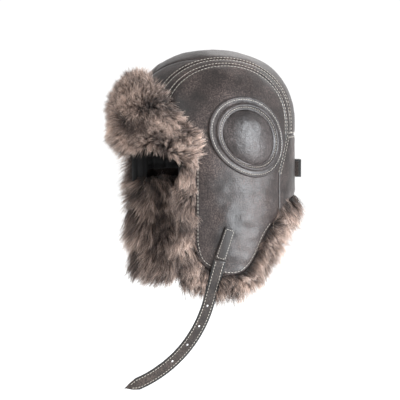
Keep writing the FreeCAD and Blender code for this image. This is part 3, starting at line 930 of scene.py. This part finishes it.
def visor_keep(points, normals):
    """Share of hairs over the visor's underfur: few on its back, which lies on the crown."""
    return np.where((normals * crown_normal(points)).sum(1) > -0.35, 1.0, 0.04)


def make_visor():
    backing = band_mesh("visor_leather", visor_columns(VISOR_HALF_ANGLE - 0.06, 7.0, 1.8, BROW_Z + 1.0),
                        visor_place(0.5), "visor", power=6.0, material=LEATHER_MAT, slot="leather")
    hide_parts("visor_backing")
    base = band_mesh("visor_underfur", visor_columns(VISOR_HALF_ANGLE, 0.0, 12.0, BROW_Z + 12.0, 15.0),
                     visor_place(2.9), "visor")
    roots, normals = sample_surface(base, VISOR_HAIRS, visor_keep)
    radial = unit(roots - np.array([0.0, -HALF_LENGTH, 70.0]))
    comb = unit(normals * 0.50 + radial * 0.60)
    comb[:, 2] += 0.55 * np.clip((BROW_Z + 26.0 - roots[:, 2]) / 16.0, 0, 1)
    grow_fur("visor_fur", roots, normals, unit(comb), 20.0, "visor", "visor_fur")


# ---- fur of the flaps and the nape

# Lower edge of the flap's fur as (y, z)
FUR_EDGE = smooth_curve([(FUR_FRONT_Y, -123.0), (-84.0, -143.0), (-62.0, -149.0), (-30.0, -147.0),
                         (5.0, -140.0), (32.0, -122.0), (FLAP_REAR_Y, -92.0)])
FLAP_HAIRS = 25000
REAR_HAIRS = 2200
TEMPLE_HAIRS = 1500
NAPE_HAIRS = 17000


def flap_place(side, thin=1.0):
    """Inside of a flap: straight ahead in front of the leather, and along the oval behind its edge."""
    def place(y, z, d):
        on_wall = max(y, FLAP_FRONT_Y)
        x = HALF_WIDTH * math.sqrt(1 - (on_wall / HALF_LENGTH) ** 2) - 0.08 * (on_wall - y)
        facing = max(y, FLAP_FRONT_Y + 12.0)
        nx, ny = HALF_LENGTH * math.sqrt(1 - (facing / HALF_LENGTH) ** 2), HALF_WIDTH * facing / HALF_LENGTH
        size = math.hypot(nx, ny)
        inward = 2.6 + d * (1.0 - (1.0 - thin) * np.clip((z + 16.0) / 10.0, 0, 1))
        return np.stack([side * (x - inward * nx / size), y - inward * ny / size, z + 0 * d], 1)
    return place


def make_temple_lining(side, word):
    """Lining carried forward over the inside of the temple, under the turned-up visor."""
    rows, columns = 24, 24
    place = flap_place(side)
    z = np.linspace(-14.0, BROW_Z + 8.0, columns)
    points = []
    for y in np.linspace(FLAP_FRONT_Y + 8.0, FUR_FRONT_Y + 6.0, rows):
        puff = 1.6 * abs(math.sin((y - FLAP_FRONT_Y) * math.pi / 9.5)) ** 0.5
        points.append(place(y, z, 3.6 + puff + 0 * z))
    faces = grid_faces(rows, columns)
    piece = mesh_object("temple_lining_" + word, np.concatenate(points), faces, LINING_MAT)
    thicken(piece, 0.7)
    place_on(piece, "crown", "lining")


def flap_columns():
    """Columns of a flap's underfur, from its rear seam to its front edge."""
    columns = []
    for y in np.linspace(FLAP_REAR_Y - 1.0, FUR_FRONT_Y + 11.0, 84):
        leather = float(leather_low(max(y, FLAP_FRONT_Y + 2.0))) - 3.0
        fur = float(value_on(FUR_EDGE, y))
        low = 0.5 * max(leather, fur) + 0.5 * fur
        if y < FLAP_FRONT_Y:
            low = 0.5 * fur + 0.5 * (-99.0)
        high = -10.0 + 38.0 * np.clip((FLAP_FRONT_Y + 6.0 - y) / 9.0, 0, 1)
        columns.append((y, low, high, 9.0 * np.clip((y - FUR_FRONT_Y - 4.0) / 16.0, 0.35, 1)))
    return columns


def flap_keep(side):
    """Share of hairs over a flap's underfur: none against the leather or over the lining."""
    def keep(points, normals):
        y, z = points[:, 1], points[:, 2]
        facing = normals[:, 0] * side
        covered = (facing > 0.2) & (y > FLAP_FRONT_Y + 1) & (z > leather_low(y) + 1)
        edge = (y < FLAP_FRONT_Y) | (z < leather_low(y) + 6)
        lined = (z > -9.0) & (facing < 0.1) & (y > FUR_FRONT_Y + 14.0)
        return np.where(covered, 0.0, 1.0) * np.where(edge, 1.8, 1.0) * np.where(lined, 0.0, 1.0)
    return keep


def flap_comb(roots, normals, side):
    """Lie, length and painted shade of a flap's hairs, which are looser at its front and lower edges; hairs
    on its inner face, towards the rear, get the painted shade.
    """
    y, z = roots[:, 1], roots[:, 2]
    wall = HALF_WIDTH * np.sqrt(1 - (np.clip(y, FLAP_FRONT_Y, None) / HALF_LENGTH) ** 2)
    inward = np.clip((wall - np.abs(roots[:, 0])) / 14.0, 0, 1)
    front = np.clip((FLAP_FRONT_Y + 6.0 - y) / 14.0, 0, 1)
    below = np.clip((leather_low(y) + 6.0 - z) / 12.0, 0, 1)
    loose = np.maximum(front, below)
    ahead = np.clip((y + 12.0) / 58.0, -1, 1)
    comb = np.stack([side * loose * (1.25 - 1.30 * inward), 0.55 * ahead * (1 - 0.6 * front),
                     -0.50 - 0.25 * below], 1)
    inner = np.clip(-normals[:, 0] * side, 0, 1)
    comb = unit(comb + normals * (0.50 - 0.20 * loose - 0.20 * inner * front)[:, None])
    # The last value is painted shade: hairs on the flap's inner face, from near its front to the rear, are
    # darkened for the shade they lie in.
    return comb, 24.0 + 3.0 * front, 0.24 * inner * np.clip((y + 86.0) / 12.0, 0, 1)


def edge_hairs(edge, count, side, offset, lean):
    """Roots, normals and lie of hairs along an edge of the leather, given as (y, z)."""
    places = np.sort(rng.uniform(0, len(edge) - 1, count))
    y, z = (np.interp(places, np.arange(len(edge)), edge[:, k]) for k in (0, 1))
    roots = side_points(y, z, side, np.full(count, offset))
    normals = crown_normal(roots)
    return roots, normals, unit(normals * 0.75 + np.array(lean))


def make_flap_fur(side, word):
    body = flap_bend("ear_flap_" + word)
    base = band_mesh("flap_underfur_" + word, flap_columns(), flap_place(side, 0.35), body)
    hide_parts("temple_fur_" + word)
    roots, normals = sample_surface(base, FLAP_HAIRS, flap_keep(side))
    comb, length, painted_shade = flap_comb(roots, normals, side)
    rear = edge_hairs(FLAP_EDGE[FLAP_EDGE[:, 0] > -20.0], REAR_HAIRS, side, -1.2, (0, 0.55, -0.40))
    temple = np.stack([np.full(60, FLAP_FRONT_Y + 0.5), np.linspace(BROW_Z - 2.0, -26.0, 60)], 1)
    front = edge_hairs(temple, TEMPLE_HAIRS, side, 1.0, (0, 0.30, -0.45))
    roots, normals, comb = (np.vstack(parts) for parts in zip((roots, normals, comb), rear, front))
    length = np.concatenate([length, np.full(REAR_HAIRS, 17.0), np.full(TEMPLE_HAIRS, 13.0)])
    # The edge hairs get no painted shade.
    painted_shade = np.concatenate([painted_shade, np.zeros(REAR_HAIRS + TEMPLE_HAIRS)])
    grow_fur("flap_fur_" + word, roots, normals, comb, length, body, "ear_flap_fur_" + word, clear=FLAP_HAIRS,
             painted_shade=painted_shade)


def nape_keep(points, normals):
    """Share of hairs over the nape's underfur: none against the leather."""
    outward = (normals * crown_normal(points)).sum(1)
    covered = (outward > 0.2) & (points[:, 2] > value_on(NAPE_EDGE, points[:, 1]) + 1)
    return np.where(covered, 0.0, 1.0)


def make_nape_fur():
    start = math.asin((FLAP_REAR_Y + 1.5) / HALF_LENGTH)
    columns = []
    for phi in np.linspace(start, math.pi - start, 96):
        leather = float(value_on(NAPE_EDGE, HALF_LENGTH * math.sin(phi)))
        columns.append((phi, leather - 16.0 - 10.0 * math.cos(phi) ** 2, -6.0, 9.0))
    body = flap_bend("nape_flap")
    base = band_mesh("nape_underfur", columns, lambda phi, z, d: wall_points(phi, z, -2.6 - d), body)
    roots, normals = sample_surface(base, NAPE_HAIRS, nape_keep)
    comb = unit(normals * 0.45 + crown_normal(roots) * 0.12 + np.array([0, 0, -0.75]))
    grow_fur("nape_fur", roots, normals, comb, 23.0, body, "nape_flap_fur", clear=NAPE_HAIRS)


# ---- chin strap

# Straight, then round an arc towards the front; distances are from the lower end of its sewn part
STRAP_HALF = 7.5
STRAP_THICK = 3.0
STRAP_LIFT = 3.3
STRAP_STRAIGHT = 52.0
STRAP_RADIUS = 140.0
STRAP_START = math.radians(15.6)
STRAP_END = math.radians(75.0)
STRAP_LENGTH = STRAP_STRAIGHT + STRAP_RADIUS * (STRAP_END - STRAP_START)
STRAP_TIP = STRAP_LENGTH - 14.0
STRAP_BEND = 66.0
HOLES = (56.0, 82.0, 108.0, 134.0)
HOLE_RADIUS = 1.4
EDGE_PAINT = 5.6
# Upper and lower end of the part sewn to the flap, as (y, z)
ANCHOR_TOP = np.array([-27.0, -62.0])
ANCHOR_END = np.array([-39.0, -99.0])
ANCHOR_HALF = 6.6


def strap_point(along, aside, out):
    """Point on the strap, by distance down it, towards its front edge and off the flap."""
    along, aside, out = np.broadcast_arrays(*(np.asarray(v, float) for v in (along, aside, out)))
    straight = np.minimum(along, STRAP_STRAIGHT)
    angle = STRAP_START + np.maximum(along - STRAP_STRAIGHT, 0) / STRAP_RADIUS
    ahead = math.sin(STRAP_START) * straight + STRAP_RADIUS * (math.cos(STRAP_START) - np.cos(angle))
    down = math.cos(STRAP_START) * straight + STRAP_RADIUS * (np.sin(angle) - math.sin(STRAP_START))
    start = side_points(ANCHOR_END[0], ANCHOR_END[1], 1)
    normal = crown_normal(start[None])[0]
    rear = np.array([-normal[1], normal[0], 0.0])
    back = (ahead + aside * np.cos(angle))[..., None] * rear
    up = (aside * np.sin(angle) - down)[..., None] * np.array([0, 0, 1.0])
    return start + out[..., None] * normal - back + up


def strap_outline():
    """Outline as (along, aside) pairs, pointed at the end."""
    along = np.arange(0.8, STRAP_LENGTH - 13.0, 2.0)
    tip = smooth_curve([(STRAP_TIP, STRAP_HALF), (STRAP_LENGTH - 7.0, 4.6), (STRAP_LENGTH - 1.2, 1.3),
                        (STRAP_LENGTH, 0.0)], 14)
    upper = np.vstack([np.stack([along, np.full(len(along), STRAP_HALF)], 1), tip])
    return np.vstack([upper, upper[-2::-1] * np.array([1, -1])])


def strap_sheet():
    """The strap laid flat, with its holes: (along, aside) points and faces."""
    outline = strap_outline()
    turn = np.linspace(0, 2 * math.pi, 24, endpoint=False)
    loops = [outline] + [np.stack([place + HOLE_RADIUS * np.cos(turn), HOLE_RADIUS * np.sin(turn)], 1)
                         for place in HOLES]
    inner = np.array([(a, b) for a in np.arange(3.0, STRAP_LENGTH - 12.0, 2.6)
                      for b in np.linspace(-6.4, 6.4, 7)])
    edges = []
    start = 0
    for loop in loops:
        edges += [(start + k, start + (k + 1) % len(loop)) for k in range(len(loop))]
        start += len(loop)
    for place in HOLES:
        inner = inner[np.hypot(inner[:, 0] - place, inner[:, 1]) > HOLE_RADIUS + 0.6]
    result = delaunay_2d_cdt([Vector(v) for v in np.vstack(loops + [inner])], edges, [], 0, 1e-5)
    places = np.array([tuple(v) for v in result[0]])
    faces = []
    for face in result[2]:
        along, aside = places[list(face)].mean(0)
        in_hole = any(math.hypot(along - place, aside) < HOLE_RADIUS * 0.98 for place in HOLES)
        if abs(aside) < value_on(outline[:len(outline) // 2 + 1], along) and along > 0.8 and not in_hole:
            faces.append(tuple(face))
    return places, faces


def make_strap():
    places, faces = strap_sheet()
    width = np.interp(places[:, 0], [0, STRAP_TIP, STRAP_LENGTH], [STRAP_HALF, STRAP_HALF, 0.4])
    share = np.clip(np.abs(places[:, 1]) / np.maximum(width, 0.4), 0, 1)
    waver = 0.18 * noise_field(np.column_stack([places, np.zeros(len(places))]), 7.0, 41)
    height = STRAP_LIFT - 0.45 * share ** 5 + waver * (1 - share ** 6)
    piece = mesh_object("chin_strap", strap_point(places[:, 0], places[:, 1], height), faces, STRAP_MAT)
    piece.data.materials.append(EDGE_MAT)
    outward = strap_point(0, 0, 1) - strap_point(0, 0, 0)
    face_towards(piece.data, outward)
    for polygon, face in zip(piece.data.polygons, faces):
        polygon.material_index = int(abs(places[list(face)].mean(0)[1]) > EDGE_PAINT)
    thicken(piece, STRAP_THICK - 0.2, rounded=True)
    body = ("chin_strap_top", "chin_strap_end", tuple(strap_point(STRAP_BEND - 8, 0, 1.8) * MM),
            tuple(strap_point(STRAP_BEND + 8, 0, 1.8) * MM))
    place_on(piece, body, "strap_leather", "chin_strap_upper", "chin_strap_lower")
    along = np.linspace(2.2, STRAP_LENGTH - 6.0, 180)
    inset = np.interp(along, [0, STRAP_TIP, STRAP_LENGTH - 6], [4.7, 4.7, 2.0])
    for i, side in enumerate((1, -1), 1):
        line = strap_point(along, side * inset, STRAP_LIFT - 0.05)
        stitches("chin_strap_stitches_" + str(i), line, np.tile(outward, (len(line), 1)), body, pitch=3.6,
                 length=2.7)


def on_anchor(down, aside, height):
    """Point on the strap's sewn end, by share of its length down it and of its half width aside."""
    axis = ANCHOR_END - ANCHOR_TOP
    across = np.array([-axis[1], axis[0]]) / np.linalg.norm(axis)
    y, z = ANCHOR_TOP + axis * down + across * aside * ANCHOR_HALF
    return side_points(y, z, 1, height)


def make_sewn_end():
    """The strap's upper end, sewn flat to the left flap by a box of stitches."""
    rows, columns = 26, 11
    points = [on_anchor(down, aside, STRAP_LIFT - 0.4 * abs(aside) ** 5)
              for down in np.linspace(0, 1, rows) for aside in np.linspace(-1, 1, columns)]
    piece = mesh_object("chin_strap_sewn_end", points, grid_faces(rows, columns), STRAP_MAT)
    piece.data.materials.append(EDGE_MAT)
    face_towards(piece.data, (1, 0, 0))
    thicken(piece, STRAP_THICK - 0.2, rounded=True)
    place_on(piece, "ear_flap_left", "strap_leather", "chin_strap_anchor")
    box = [[(0.06, -0.72), (0.94, -0.72)], [(0.06, 0.72), (0.94, 0.72)], [(0.05, -0.66), (0.05, 0.66)],
           [(0.94, -0.66), (0.94, 0.66)]]
    for i, row in enumerate(box, 1):
        line = even_curve(np.array([on_anchor(*end, STRAP_LIFT - 0.05) for end in row]), 1.0)
        stitches("chin_strap_sewn_end_stitches_" + str(i), line, crown_normal(line), "ear_flap_left",
                 pitch=2.9, length=2.1)


# ---- buckle and nape adjuster

def make_hardware():
    """CAD nodes that keep their shape, each with its own material."""
    finishes = {"buckle_frame": BUCKLE_MAT, "buckle_prong": BUCKLE_MAT, "adjuster_buckle": PLASTIC_MAT,
                "adjuster_strap": STRAP_MAT, "buckle_strap": STRAP_MAT, "keeper_loop": STRAP_MAT}
    for node, material in finishes.items():
        slots = bpy.data.objects[node].data.materials
        slots.clear()
        slots.append(material)


# ---- lining

def make_lining():
    """Quilted lining: upright channels that meet at the top of the head."""
    columns, channels, dome_rows, wall_rows = 336, 28, 46, 30
    phi = np.linspace(0, 2 * np.pi, columns, endpoint=False)
    y = HALF_LENGTH * np.sin(phi)
    step = np.clip((y - (FLAP_FRONT_Y - 8)) / 12.0, 0, 1)
    low = BROW_Z + 1.0 - (BROW_Z + 0.5) * step
    rows = [np.full(columns, WALL_TOP + DOME_HEIGHT * math.sin(angle) ** (2 / DOME_POWER))
            for angle in np.linspace(math.pi / 2 - 0.02, 0, dome_rows)]
    rows += [WALL_TOP + (low - WALL_TOP) * k / wall_rows for k in range(1, wall_rows + 1)]
    wave = np.abs(np.sin(channels * phi / 2))
    points = []
    for i, z in enumerate(rows):
        fade = min(1.0, i / 26)
        ties = 1.0 - 0.25 * abs(math.sin(i * 0.55)) ** 8
        puff = (0.8 + 3.2 * wave ** 0.45 * ties) * fade + 2.0 * (1 - fade)
        points.append(wall_points(phi, z, -(LEATHER + 0.8 + puff)))
    points = np.concatenate(points)
    points = points + 0.25 * noise_field(points, 5.0, 31)[:, None] * crown_normal(points)
    faces = grid_faces(len(rows), columns, closed=True)
    faces.append(tuple(range(columns)))
    piece = mesh_object("lining", points, faces, LINING_MAT)
    recalc(piece)
    if sum(v.co.dot(v.normal) for v in list(piece.data.vertices)[::40]) > 0:
        piece.data.flip_normals()
    thicken(piece, 0.7)
    place_on(piece, "crown", "lining", "crown_lining")


# ---- light and floor

def area_light(name, place, target, size, power, colour=(1, 1, 1)):
    data = bpy.data.lights.new(name, "AREA")
    data.shape = "DISK"
    data.size = size
    data.energy = power
    data.color = colour
    lamp = link_object(name, data)
    lamp.location = place
    lamp.rotation_euler = (Vector(target) - Vector(place)).to_track_quat("-Z", "Y").to_euler()


def make_studio():
    """White surroundings and floor, and four lamps whose places are in metres."""
    world = bpy.data.worlds.new("studio")
    bpy.context.scene.world = world
    world.use_nodes = True
    world.node_tree.nodes["Background"].inputs[0].default_value = (1.0, 1.0, 1.0, 1.0)
    world.node_tree.nodes["Background"].inputs[1].default_value = 1.05
    bpy.context.scene.view_settings.view_transform = "Standard"
    area_light("key", (1.38, 0.62, 0.03), (0.05, 0, -0.02), 0.7, 38.0, (0.92, 0.96, 1.0))
    area_light("back", (-0.10, 1.30, 0.95), (0.03, 0.02, 0.05), 0.70, 3.5)
    area_light("fill", (0.9, -1.5, 0.6), (0, 0, -0.02), 0.8, 9.0)
    area_light("rim", (-0.9, 1.0, 1.2), (0, 0, 0.05), 0.9, 5.0)
    material, tree, shader = new_material("floor")
    connect(tree, shader, {"Base Color": (0.96, 0.96, 0.96, 1), "Roughness": 0.8})
    half = 4000.0
    z = cad_box[0][2] / MM - 60.0
    floor = mesh_object("floor", [(-half, -half, z), (half, -half, z), (half, half, z), (-half, half, z)],
                        [(0, 1, 2, 3)], material)


make_camera()
make_crown()
make_seam_stitches()
for flap_side, flap_word in SIDES:
    make_patch(flap_side, flap_word)
    make_flap_fur(flap_side, flap_word)
    make_temple_lining(flap_side, flap_word)
make_visor()
make_nape_fur()
make_lining()
make_strap()
make_sewn_end()
make_hardware()
make_studio()
